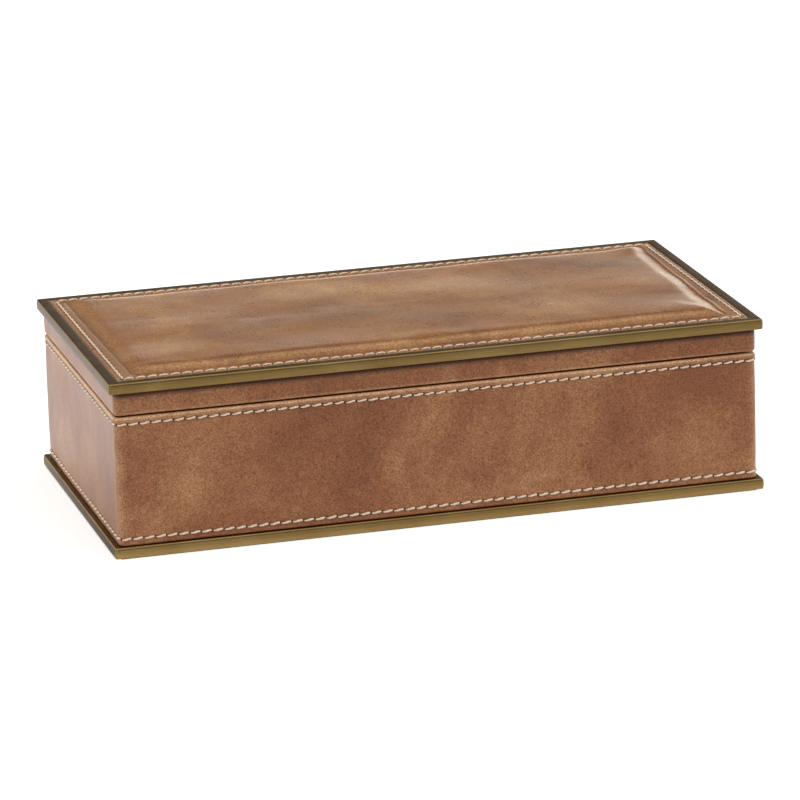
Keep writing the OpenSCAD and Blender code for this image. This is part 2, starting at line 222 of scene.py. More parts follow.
# ------------------------------------------------------------------ materials
class Mat:
    """A small wrapper that makes node graphs short to write."""

    def __init__(self, name):
        self.m = bpy.data.materials.new(name)
        self.m.use_nodes = True
        self.t = self.m.node_tree
        self.t.nodes.clear()
        self.out = self.t.nodes.new("ShaderNodeOutputMaterial")
        self.bsdf = self.t.nodes.new("ShaderNodeBsdfPrincipled")
        self.t.links.new(self.bsdf.outputs[0], self.out.inputs[0])

    def link(self, a, b):
        self.t.links.new(a, b)

    def val(self, socket, v):
        if isinstance(v, bpy.types.NodeSocket):
            self.link(v, socket)
        else:
            socket.default_value = v

    def coords(self, kind="Object", scale=(1, 1, 1), rot=(0, 0, 0), loc=(0, 0, 0)):
        c = self.t.nodes.new("ShaderNodeTexCoord")
        m = self.t.nodes.new("ShaderNodeMapping")
        m.inputs["Scale"].default_value = scale
        m.inputs["Rotation"].default_value = rot
        m.inputs["Location"].default_value = loc
        self.link(c.outputs[kind], m.inputs[0])
        return m.outputs[0]

    def noise(self, vec, scale, detail=4, rough=0.55, dist=0.0, kind="FBM"):
        n = self.t.nodes.new("ShaderNodeTexNoise")
        n.noise_type = kind
        self.link(vec, n.inputs["Vector"])
        n.inputs["Scale"].default_value = scale
        n.inputs["Detail"].default_value = detail
        n.inputs["Roughness"].default_value = rough
        n.inputs["Distortion"].default_value = dist
        return n.outputs[0]

    def voronoi(self, vec, scale, feature="F1", rnd=1.0, smoothness=None):
        n = self.t.nodes.new("ShaderNodeTexVoronoi")
        n.feature = feature
        self.link(vec, n.inputs["Vector"])
        n.inputs["Scale"].default_value = scale
        n.inputs["Randomness"].default_value = rnd
        if smoothness is not None:
            n.inputs["Smoothness"].default_value = smoothness
        return n.outputs["Distance"]

    def attr(self, name):
        n = self.t.nodes.new("ShaderNodeAttribute")
        n.attribute_name = name
        return n.outputs["Fac"]

    def math(self, op, a, b=0.0, c=0.0, clamp=False):
        n = self.t.nodes.new("ShaderNodeMath")
        n.operation, n.use_clamp = op, clamp
        for s, v in zip(n.inputs, (a, b, c)):
            self.val(s, v)
        return n.outputs[0]

    def ramp(self, fac, stops, interp="EASE"):
        n = self.t.nodes.new("ShaderNodeValToRGB")
        n.color_ramp.interpolation = interp
        while len(n.color_ramp.elements) < len(stops):
            n.color_ramp.elements.new(0.5)
        for e, (p, c) in zip(n.color_ramp.elements, stops):
            e.position = p
            e.color = c if len(c) == 4 else (*c, 1)
        self.link(fac, n.inputs[0])
        return n.outputs[0]

    def mix(self, fac, a, b, mode="MIX"):
        n = self.t.nodes.new("ShaderNodeMix")
        n.data_type, n.blend_type = "RGBA", mode
        self.val(n.inputs[0], fac)
        self.val(n.inputs[6], a if isinstance(a, bpy.types.NodeSocket) else (*a, 1))
        self.val(n.inputs[7], b if isinstance(b, bpy.types.NodeSocket) else (*b, 1))
        return n.outputs[2]

    def fmap(self, v, a, b, c, d):
        n = self.t.nodes.new("ShaderNodeMapRange")
        self.link(v, n.inputs[0])
        for i, k in enumerate((a, b, c, d)):
            n.inputs[1 + i].default_value = k
        return n.outputs[0]

    def bumps(self, *layers):
        """layers: (height socket, strength, distance in metres)."""
        prev = None
        for h, st, dist in layers:
            n = self.t.nodes.new("ShaderNodeBump")
            n.inputs["Strength"].default_value = st
            n.inputs["Distance"].default_value = dist
            self.link(h, n.inputs["Height"])
            if prev is not None:
                self.link(prev, n.inputs["Normal"])
            prev = n.outputs[0]
        self.link(prev, self.bsdf.inputs["Normal"])

    def set(self, **kw):
        for k, v in kw.items():
            self.val(self.bsdf.inputs[k.replace("_", " ")], (*v, 1) if isinstance(v, tuple) and len(v) == 3 else v)


def lin(r, g, b):
    """sRGB 0-255 to linear."""
    def f(c):
        c /= 255.0
        return c / 12.92 if c <= 0.04045 else ((c + 0.055) / 1.055) ** 2.4
    return (f(r), f(g), f(b))


def leather_material(name, loc=(0.0, 0.0, 0.0), tint=(1.0, 1.0, 1.0), gloss=(0.27, 0.38), spec=0.5, fold=0.10, grains=(1.0, 1.0, 1.0), speckle=0.52, relief=1.0):
    m = Mat(name)
    v = m.coords(loc=loc)
    # slow cloudy patches, smaller clouds inside them, and a fine speckle
    warp = m.noise(v, 9.0, 2, 0.5)
    big = m.noise(v, 17.0, 3.0, 0.52, 0.9)
    mid = m.noise(m.coords(loc=(loc[0] + 3.1, loc[1] + 1.7, loc[2])), 58.0, 4.0, 0.6, 0.5)
    g = m.coords(loc=loc, scale=grains)
    mott = m.noise(v, 330.0, 3.0, 0.6, 0.6)
    fine = m.noise(g, 900.0, 3.0, 0.65)
    speck = m.noise(g, 1900.0, 2.0, 0.6)
    cloud = m.math("ADD", m.math("MULTIPLY", big, 0.74), m.math("MULTIPLY", mid, 0.26))
    sx = m.t.nodes.new("ShaderNodeSeparateXYZ")
    m.link(m.coords(), sx.inputs[0])
    cloud = m.math("ADD", cloud, m.math("MULTIPLY", sx.outputs["X"], -0.26))
    cloud = m.math("ADD", cloud, m.math("MULTIPLY", m.math("SUBTRACT", warp, 0.5), 0.22))
    base = m.ramp(cloud, [
        (0.30, lin(118, 68, 40)), (0.42, lin(136, 83, 51)),
        (0.52, lin(147, 93, 58)), (0.63, lin(161, 109, 71)), (0.76, lin(181, 132, 90)),
    ])
    # pull-up: paler and yellower where the leather is rubbed or bent, and, on the rims, the lid band's lower edge and
    # the pad's shoulder, a painted highlight as well
    wear_and_highlight = m.attr("wear_and_highlight")
    wear_and_highlight_n = m.math("MULTIPLY", wear_and_highlight, m.fmap(mid, 0.3, 0.7, 0.6, 1.3), clamp=True)
    base = m.mix(wear_and_highlight_n, base, lin(214, 168, 128))
    grain = m.math("ADD", m.math("MULTIPLY", fine, 0.24), m.math("MULTIPLY", speck, 0.65))
    grain = m.math("ADD", grain, m.math("MULTIPLY", mott, 0.11))
    shade = m.fmap(grain, 0.36, 0.64, 1.0 - speckle, 1.0 + speckle)
    comb = m.t.nodes.new("ShaderNodeCombineColor")
    m.link(shade, comb.inputs[0])
    m.link(m.math("POWER", shade, 1.15), comb.inputs[1])
    m.link(m.math("POWER", shade, 1.25), comb.inputs[2])
    col = m.mix(1.0, base, comb.outputs[0], "MULTIPLY")
    if tint != (1.0, 1.0, 1.0):
        col = m.mix(1.0, col, tint, "MULTIPLY")
    # painted shade: darker where it dips into creases, stitch holes and seams, and in the crevices under the brass
    painted_shade = m.attr("painted_shade")
    col = m.mix(m.math("MULTIPLY", painted_shade, 1.0, clamp=True), col, lin(48, 19, 7))
    m.set(Base_Color=col)
    m.set(Roughness=m.fmap(m.math("ADD", mid, m.math("MULTIPLY", fine, 0.4)), 0.45, 0.95, *gloss))
    m.bsdf.inputs["Specular IOR Level"].default_value = spec
    m.bsdf.inputs["IOR"].default_value = 1.45
    pore = m.voronoi(v, 1150.0, "SMOOTH_F1", 1.0, 0.6)
    crease = m.noise(m.coords(loc=loc), 240.0, 2.0, 0.5, 0.3)
    m.bumps((crease, fold, 0.00035), (pore, 0.20 * relief, 0.00014), (speck, 0.14 * relief, 0.00010))
    return m.m


def brass_material(name):
    m = Mat(name)
    uv = m.coords("UV")
    obj = m.coords()
    # brushing along the bar: u runs along it, v round it, both in metres
    brush = m.noise(m.coords("UV", scale=(14, 5200, 1)), 1.0, 4.0, 0.6)
    brush2 = m.noise(m.coords("UV", scale=(60, 1900, 1)), 1.0, 3.0, 0.6)
    patina = m.noise(obj, 26.0, 4.0, 0.6, 0.8)
    spots = m.noise(obj, 210.0, 3.0, 0.6)
    f = m.math("ADD", m.math("MULTIPLY", patina, 0.55), m.math("MULTIPLY", brush2, 0.45))
    col = m.ramp(f, [
        (0.30, lin(132, 105, 62)), (0.46, lin(146, 120, 74)),
        (0.58, lin(155, 130, 83)), (0.72, lin(168, 143, 97)),
    ])
    col = m.mix(m.fmap(spots, 0.60, 0.78, 0.0, 0.25), col, lin(112, 86, 50))
    # painted shade along the mitre joints, set on each bar's end columns
    painted_shade = m.attr("painted_shade")
    col = m.mix(m.math("MULTIPLY", painted_shade, 1.0, clamp=True), col, lin(46, 33, 20))
    m.set(Base_Color=col, Metallic=1.0)
    m.bsdf.inputs["Specular Tint"].default_value = (0.50, 0.527, 0.61, 1)
    r = m.math("ADD", m.math("MULTIPLY", brush, 0.12), m.math("MULTIPLY", patina, 0.12))
    m.set(Roughness=m.fmap(r, 0.08, 0.16, 0.17, 0.26))
    m.bumps((brush, 0.10, 0.00004), (spots, 0.06, 0.00005))
    return m.m


def thread_material():
    m = Mat("thread")
    uv = m.coords("UV")
    # plies wind round the thread
    w = m.t.nodes.new("ShaderNodeTexWave")
    w.wave_type, w.bands_direction, w.wave_profile = "BANDS", "DIAGONAL", "SIN"
    m.link(m.coords("UV", scale=(1.0, 1.0, 1.0)), w.inputs["Vector"])
    w.inputs["Scale"].default_value = 3.0
    w.inputs["Distortion"].default_value = 0.4
    n = m.noise(m.coords(), 900.0, 3.0, 0.6)
    slow = m.noise(m.coords(), 60.0, 2.0, 0.5)
    f = m.math("ADD", m.math("MULTIPLY", w.outputs[1], 0.35), m.math("ADD", m.math("MULTIPLY", n, 0.45), m.math("MULTIPLY", slow, 0.3)))
    col = m.ramp(f, [(0.25, lin(224, 190, 158)), (0.55, lin(249, 229, 204)), (0.85, lin(255, 246, 230))])
    # painted shade on the thread where it goes down into its holes
    painted_shade = m.attr("painted_shade")
    col = m.mix(m.math("MULTIPLY", painted_shade, 0.95, clamp=True), col, lin(52, 25, 12))
    m.set(Base_Color=col, Roughness=0.62)
    m.bsdf.inputs["Sheen Weight"].default_value = 0.06
    m.bumps((w.outputs[1], 0.5, 0.00010), (n, 0.35, 0.00006))
    return m.m


def suede_material(name, a, b, c):
    m = Mat(name)
    v = m.coords()
    nap = m.noise(v, 1300.0, 4.0, 0.7)
    nap2 = m.noise(m.coords(scale=(1, 1, 0.35)), 420.0, 3.0, 0.6, 0.6)
    cloud = m.noise(v, 15.0, 2.0, 0.45, 0.2)
    f = m.math("ADD", m.math("MULTIPLY", cloud, 0.35), m.math("ADD", m.math("MULTIPLY", nap, 0.40), m.math("MULTIPLY", nap2, 0.25)))
    col = m.ramp(f, [(0.24, lin(*a)), (0.50, lin(*b)), (0.76, lin(*c))])
    m.set(Base_Color=col, Roughness=m.fmap(nap2, 0.3, 0.7, 0.86, 0.98))
    m.bsdf.inputs["Sheen Weight"].default_value = 0.35
    m.bsdf.inputs["Sheen Roughness"].default_value = 0.45
    m.bsdf.inputs["Sheen Tint"].default_value = (*lin(*c), 1)
    m.bumps((nap2, 0.35, 0.00025), (nap, 0.5, 0.00018))
    return m.m


def felt_material():
    m = Mat("felt")
    v = m.coords()
    f1 = m.noise(v, 900.0, 4.0, 0.7, 1.2)
    f2 = m.noise(v, 140.0, 3.0, 0.6, 0.8)
    f = m.math("ADD", m.math("MULTIPLY", f1, 0.6), m.math("MULTIPLY", f2, 0.4))
    col = m.ramp(f, [(0.3, lin(66, 56, 46)), (0.55, lin(94, 82, 68)), (0.8, lin(122, 108, 92))])
    m.set(Base_Color=col, Roughness=m.fmap(f2, 0.3, 0.7, 0.9, 1.0))
    m.bsdf.inputs["Sheen Weight"].default_value = 0.2
    m.bumps((f1, 0.2, 0.0002), (f2, 0.15, 0.0003))
    return m.m


def board_material(name, a, b, c, scale=1.0):
    m = Mat(name)
    v = m.coords()
    n1 = m.noise(v, 1100.0 * scale, 4.0, 0.7)
    n2 = m.noise(v, 160.0 * scale, 3.0, 0.6)
    f = m.math("ADD", m.math("MULTIPLY", n1, 0.6), m.math("MULTIPLY", n2, 0.4))
    m.set(Base_Color=m.ramp(f, [(0.3, lin(*a)), (0.52, lin(*b)), (0.75, lin(*c))]), Roughness=m.fmap(n2, 0.3, 0.7, 0.75, 0.9))
    m.bumps((n1, 0.25, 0.00012))
    return m.m


def plain_brass_material(name):
    """For small turned and stamped pieces, mapped in space."""
    m = Mat(name)
    v = m.coords()
    n1 = m.noise(m.coords(scale=(0.06, 1, 1)), 2600.0, 3.0, 0.6)
    n2 = m.noise(v, 90.0, 3.0, 0.6, 0.5)
    f = m.math("ADD", m.math("MULTIPLY", n1, 0.4), m.math("MULTIPLY", n2, 0.6))
    m.set(Base_Color=m.ramp(f, [(0.32, lin(150, 118, 68)), (0.52, lin(190, 156, 96)), (0.72, lin(216, 186, 126))]), Metallic=1.0)
    m.set(Roughness=m.fmap(n1, 0.3, 0.7, 0.26, 0.38))
    m.bumps((n1, 0.15, 0.00004))
    return m.m


M_LEATHER = leather_material("leather", loc=(0.024, 0.0, 0.008))
# this copy for the top panel is tinted lighter and yellower: painted light that falls on the top
M_LEATHER_TOP = leather_material("leather_panel", loc=(0.31, 0.12, 0.05), tint=(1.04, 1.07, 0.80), gloss=(0.25, 0.34), spec=0.47, fold=0.02, grains=(0.85, 0.55, 1.0), speckle=0.52, relief=0.35)
M_BRASS = brass_material("trim_brass")
M_HINGE = plain_brass_material("hinge_brass")
M_SCREW = plain_brass_material("screw_brass")
M_THREAD = thread_material()
M_LINING = suede_material("lining", (112, 84, 60), (150, 118, 88), (180, 148, 116))
M_FELT = felt_material()
M_BOARD = board_material("board", (150, 118, 82), (178, 146, 106), (204, 174, 134))
M_CARD = board_material("card", (130, 122, 110), (156, 148, 134), (180, 172, 158), 0.8)
M_FOAM = board_material("foam", (196, 190, 172), (222, 216, 200), (240, 236, 224), 0.6)

# carried-over CAD nodes
for n, o in NODES.items():
    if "screws" in n:
        mat = M_SCREW
    elif n.startswith("hinge"):
        mat = M_HINGE
    elif "lining" in n:
        mat = M_LINING
    elif "foam" in n:
        mat = M_FOAM
    elif "card" in n:
        mat = M_CARD
    elif "wall" in n or "board" in n:
        mat = M_BOARD
    elif "felt" in n:
        mat = M_FELT
    elif "thread" in n:
        mat = M_THREAD
    elif "trim" in n:
        mat = M_BRASS
    else:
        mat = M_LEATHER
    o.data.materials.clear()
    o.data.materials.append(mat)


# ------------------------------------------------------------------ stitching
PAD_SHIFT, PAD_WIDEN = 0.30, 0.0042       # the pad sits this much to the right, mm


def stitch_ring(name, body, node, hx, hy, r, count, phase, level, wall, rad=0.41, slant=0.22, seed=1, length=0.82, lift=0.22, upside=1, cx=0.0):
    """Saddle stitches along a rounded rectangle. wall True: they lie on an
    upright face at height level; else on a level face at that height."""
    total = plan(hx, hy, r, 400, 6)[3]
    p = total / count
    seg, sides = 16, 10
    rnd = RNG(seed)
    verts, uvs, faces, painted_shade = [], [], [], []
    t = np.linspace(0, 1, seg + 1)
    for k in range(count):
        s0 = (k + phase) * p
        ln = p * length * rnd.uniform(0.985, 1.015)
        mid = s0 + p / 2 + rnd.uniform(-0.05, 0.05)
        sl = slant * rnd.uniform(0.85, 1.15)
        along = (t - 0.5) * ln
        side = sl * np.tanh((t - 0.5) * 5.0) / math.tanh(2.5) + rnd.uniform(-0.03, 0.03)
        # the thread rises out of its hole, lies flat and goes down the next
        up = -0.62 + (0.62 + lift) * np.sqrt(np.clip(1 - np.abs(2 * t - 1) ** 3.2, 0, 1)) * (1 + 0.0 * t)
        rr = rad * rnd.uniform(0.96, 1.04) * (0.66 + 0.34 * smooth(0.0, 0.6, t)) * (0.84 + 0.16 * np.sqrt(np.clip(1 - np.abs(2 * t - 1) ** 4, 0, 1)))
        cen = []
        for a, b, c in zip(along, side, up):
            (x, y), (nx, ny) = point_on(mid + a, hx, hy, r)
            tx, ty = -ny, nx
            if wall:
                # the path runs anticlockwise: on the front that is left to right
                cen.append(((x + nx * c, y + ny * c, level + b), (nx, ny, 0), (0, 0, 1)))
            else:
                cen.append(((x - nx * b * upside, y - ny * b * upside, level + c), (0, 0, 1), (-nx * upside, -ny * upside, 0)))
        c = np.array([q[0] for q in cen]) * np.array([1 + cx * PAD_WIDEN, 1.0, 1.0]) + np.array([cx, 0.0, 0.0])
        out = np.array([q[1] for q in cen], float)
        tan = np.gradient(c, axis=0)
        tan /= np.linalg.norm(tan, axis=1)[:, None]
        e1 = out - tan * (out * tan).sum(1)[:, None]
        e1 /= np.linalg.norm(e1, axis=1)[:, None]
        e2 = np.cross(tan, e1)
        base = len(verts) // 1
        ang = np.arange(sides) * 2 * math.pi / sides
        start = sum(len(v) for v in verts)
        twist = t * 2 * math.pi * 1.1 + rnd.uniform(0, 6.28)
        lobes = 1 + 0.10 * np.cos(2 * (ang[None] - twist[:, None]))
        ringv = c[:, None] + rr[:, None, None] * lobes[..., None] * (np.cos(ang)[None, :, None] * e1[:, None] + np.sin(ang)[None, :, None] * e2[:, None])
        capa, capb = c[:1] - tan[:1] * 0.1, c[-1:] + tan[-1:] * 0.1
        verts.append(np.concatenate([ringv.reshape(-1, 3), capa, capb]))
        # painted shade where the thread sinks below the leather
        painted_dk = 1 - smooth(-0.50, -0.02, up)
        painted_shade.append(np.concatenate([np.repeat(painted_dk, sides), [1, 1]]))
        uu = np.repeat((along / 0.9)[:, None], sides, 1)
        vv = np.repeat((ang / (2 * math.pi) * 2)[None], seg + 1, 0)
        uvs.append(np.concatenate([np.stack([uu, vv], -1).reshape(-1, 2), [[0, 0], [0, 0]]]))
        f = grid_faces(seg + 1, sides) + start
        faces += f[:, ::-1].tolist()
        ca, cb = start + (seg + 1) * sides, start + (seg + 1) * sides + 1
        for i in range(sides):
            j = (i + 1) % sides
            faces.append([ca, start + i, start + j])
            faces.append([cb, start + seg * sides + j, start + seg * sides + i])
    ob = make_mesh(name, np.concatenate(verts), faces, True, {"painted_shade": np.concatenate(painted_shade)}, np.concatenate(uvs))
    bm = bmesh.new()
    bm.from_mesh(ob.data)
    bmesh.ops.recalc_face_normals(bm, faces=bm.faces)
    bm.to_mesh(ob.data)
    bm.free()
    place(ob, body, "thread", M_THREAD, node)
    return ob


def stitch_dent(s, v, total, count, phase, slant=0.30):
    """Depth that the stitches press into leather, and the slits that get painted shade, at length s
    along the line and v across it (mm)."""
    p = total / count
    q = ((s / p - phase + 0.5) % 1.0 - 0.5) * p
    # a slit from where one stitch goes down to where the next comes up
    slit = np.exp(-(((q + 0.30 * v / slant * 0.5) / 0.66) ** 2 + (v / 0.62) ** 2))
    line = np.exp(-(v / 0.62) ** 2)
    puff = np.exp(-((np.abs(v) - 1.45) / 0.65) ** 2) * (0.6 + 0.4 * np.cos(2 * math.pi * q / p + math.pi))
    return 0.50 * slit + 0.17 * line - 0.055 * puff, slit


BASE_R = 3.0
BASE_TOTAL = plan(LX, LY, BASE_R, 400, 6)[3]


def along(poly, n):
    """n points along a polyline, its own corners among them."""
    poly = np.array(poly, float)
    ln = np.concatenate([[0], np.cumsum(np.hypot(*np.diff(poly, axis=0).T))])
    at = np.linspace(0, ln[-1], n)
    for q in ln[1:-1]:
        i = int(np.argmin(np.abs(at[1:-1] - q))) + 1
        at[i] = q
    return np.stack([np.interp(at, ln, poly[:, 0]), np.interp(at, ln, poly[:, 1])], 1)


def wall_leather(name, profile, notched, stitches, n, seedw, wear_and_highlight_of, crevice_shade, corner=BASE_R):
    """Sweeps a closed profile of (outward offset, z, amount of surface detail)
    round the box, with the notched profile at the two hinges, and presses the
    stitch lines and a back seam into it."""
    u, nn, s, tot = plan(LX, LY, corner, n, 14)
    # a pair of columns at each end of each hinge makes the notch's end walls
    for c in (-HINGE_X, HINGE_X):
        for e in (-1, 1):
            for h in (-0.01, 0.01):
                xe = c + e * (HINGE_LEN / 2 + 0.1) + h
                s = np.append(s, -xe if xe < 0 else tot - xe)
                u = np.vstack([u, [xe / (LX - corner), 1]])
                nn = np.vstack([nn, [0, 1]])
    order = np.argsort(s, kind="stable")
    s, u, nn = s[order], u[order], nn[order]
    xb = np.where(nn[:, 1] > 0.999, u[:, 0] * (LX - corner), 0)
    cutout = (np.abs(np.abs(xb) - HINGE_X) < HINGE_LEN / 2 + 0.1) & (np.abs(u[:, 1] - 1) < 1e-9)
    prof, alt = np.array(profile, float), np.array(notched, float)
    offs = np.where(cutout[None], alt[:, :1], prof[:, :1])
    z = np.where(cutout[None], alt[:, 1:2], prof[:, 1:2])
    k = np.where(cutout[None], alt[:, 2:3], prof[:, 2:3])
    S = np.repeat(s[None], len(prof), 0)
    x, y = ring_rows(u, nn, LX, LY, corner, offs)
    wob = Waves(seedw, 46.0)(x, y, z) * 0.07 + Waves(seedw + 1, 15.0)(x, y, z) * 0.022
    d = wob * k
    painted_shade = np.zeros_like(d)
    for zs, count, phase in stitches:
        dep, slit = stitch_dent(S, z - zs, tot, count, phase)
        d = d - dep * (k > 0)
        # painted shade in the stitch slits
        painted_shade = np.maximum(painted_shade, np.clip(slit * 1.7, 0, 1) * (k > 0))
    # a back seam: dented, with painted shade in its groove
    q = np.minimum(S, tot - S)
    d = d - 0.28 * np.exp(-(q / 0.30) ** 2) * (k > 0)
    painted_shade = np.maximum(painted_shade, 0.75 * np.exp(-(q / 0.32) ** 2) * (k > 0))
    # painted shade in the crevices; rubbed vertical corners; a paler rim and edges, partly rubbed wear and partly
    # painted highlight
    painted_shade = np.maximum(painted_shade, np.clip(crevice_shade(z, offs), 0, 1))
    near = np.exp(-(np.hypot(np.maximum(LX - np.abs(x), 0), np.maximum(LY - np.abs(y), 0)) / 3.2) ** 2)
    wear_and_highlight = np.maximum(0.38 * near * k, wear_and_highlight_of(z, offs))
    x = x + nn[:, 0][None] * d
    y = y + nn[:, 1][None] * d
    v = np.stack([x, y, z], -1)
    f = grid_faces(len(prof), len(s), close_rows=True)
    ob = make_mesh(name, v, f[:, ::-1], True, {"painted_shade": painted_shade, "wear_and_highlight": np.clip(wear_and_highlight, 0, 1)})
    return ob


Z_UP, Z_LOW = 62.5, 9.35


def zs_near(z0, steps=(0, 0.22, 0.44, 0.68, 0.95, 1.3, 1.8, 2.4)):
    return sorted({round(z0 + a * b, 3) for a in steps for b in (-1, 1)})


INNER = 148.6 - LX


def base_profile():
    zz = [6.17, 6.24, 6.34, 6.48, 6.65, 6.85] + zs_near(Z_LOW) + list(np.arange(13.0, 59.0, 1.9)) + zs_near(Z_UP)
    zz = [z for z in zz if z < 63.7] + [63.9, 64.1]
    head, tail = [(-1.5, Z_PLINTH + 0.01, 0.0), (-1.3, Z_PLINTH + 0.02, 0.05), (-0.9, Z_PLINTH + 0.04, 0.05)], []
    for z in zz:
        tuck = -0.95 * (1 - math.sqrt(max(0.0, 1 - max(0.0, (7.1 - z) / 1.0) ** 2)))
        off = tuck + 0.26 * (1 - smooth(6.6, 8.8, z)) + 0.24 * smooth(Z_UP + 0.4, Z_UP + 1.5, z) + 0.10 * smooth(8, 20, z) * (1 - smooth(45, 60, z))
        head.append((float(off), z, float(smooth(5.9, 8.0, z) * 0.9 + 0.1)))
    # round the rim and over the wall to the lining
    r = 1.0
    tail += [(0.24, 64.3, 0.6)]
    for a in np.linspace(0, 90, 8):
        a = math.radians(a)
        tail.append((0.24 - r + r * math.cos(a), Z_RIM - r + r * math.sin(a), 0.25))
    tail += [(o, Z_RIM, 0.12) for o in (-1.4, -2.4, -3.8, -5.2, -6.4)]
    tail += [(-6.66, Z_RIM - 0.12, 0.0), (-6.68, Z_RIM - 0.75, 0.0), (INNER, Z_RIM - 0.78, 0.0)]
    end = [(INNER, 40.0, 0.0), (INNER, Z_PLINTH + 0.01, 0.0)]
    zn = HZ - 1.98
    cutp = along([(0.24, zn - 0.05), (0.1, zn), (INNER, zn), (INNER, 58.0)], len(tail))
    return head + tail + end, head + [(a, b, 0.0) for a, b in cutp] + end


# paler rim, hem and lower edge: rubbed wear, with a painted highlight on the rounded rim
def base_wear_and_highlight(z, offs):
    return 1.1 * smooth(64.3, 65.1, z) * (offs > -1.2) + 0.24 * smooth(62.6, 63.4, z) * (z < 64.6) + 0.10 * (1 - smooth(6.4, 8.0, z)) * (offs > -1)


# the last argument paints shade into the small crevice along the bottom edge, over the brass
base_leather = wall_leather("leather_base", *base_profile(), [(Z_UP, PITCH_N, 0.5), (Z_LOW, PITCH_N, 0.5)],
                            PITCH_N * (11), 5, base_wear_and_highlight,
                            lambda z, o: 0.06 * (1 - smooth(6.15, 6.5, z)) * (o > -1.14))
place(base_leather, "base", "leather", M_LEATHER, "base_leather")


def band_profile():
    head = [(-1.5, 77.28, 0.0), (-1.2, 77.24, 0.05)]
    for z in [77.16, 77.0, 76.8, 76.55, 76.25, 75.9, 75.5, 75.0, 74.0, 72.8, 71.6, 70.4, 69.4, 68.75]:
        off = 0.10 * math.sin(math.pi * (z - 66.8) / 10.5) - 0.02 - 1.0 * (1 - math.sqrt(max(0.0, 1 - max(0.0, (z - 75.2) / 2.0) ** 2)))
        head.append((float(off), z, 0.6))
    tail = [(0.04, 68.35, 0.5), (0.03, 68.0, 0.4)]
    r = 0.95
    for a in np.linspace(0, 90, 8):
        a = math.radians(a)
        tail.append((0.0 - r + r * math.cos(a), Z_LID + r - r * math.sin(a), 0.25))
    tail += [(o, Z_LID, 0.12) for o in (-1.6, -2.6, -4.0, -5.3)]
    tail += [(-5.63, Z_LID + 0.12, 0.0), (-5.68, Z_LID + 0.78, 0.0), (INNER, Z_LID + 0.79, 0.0)]
    end = [(INNER, 72.0, 0.0), (INNER, 77.28, 0.0)]
    zn = HZ + 1.98
    cutp = along([(0.04, zn + 0.05), (0.0, zn), (INNER, zn), (INNER, 70.0)], len(tail))
    return (head + tail + end)[::-1], (head + [(a, b, 0.0) for a, b in cutp] + end)[::-1]


# paler lower edge: rubbed wear and a painted highlight; painted shade under the brass overhang at the top
lid_band = wall_leather("leather_lid_band", *band_profile(), [], PITCH_N * (8), 21,
                        lambda z, o: 0.42 * (1 - smooth(66.9, 68.2, z)) * (o > -1.6),
                        lambda z, o: 0.85 * smooth(73.9, 76.2, z))
place(lid_band, "lid", "leather", M_LEATHER, "lid_leather_band")

stitch_ring("stitches_base_upper", "base", "base_thread_upper", LX, LY, BASE_R, PITCH_N, 0.5, Z_UP, True, rad=0.46, seed=3)
stitch_ring("stitches_base_lower", "base", "base_thread_lower", LX, LY, BASE_R, PITCH_N, 0.5, Z_LOW, True, rad=0.52, seed=4)


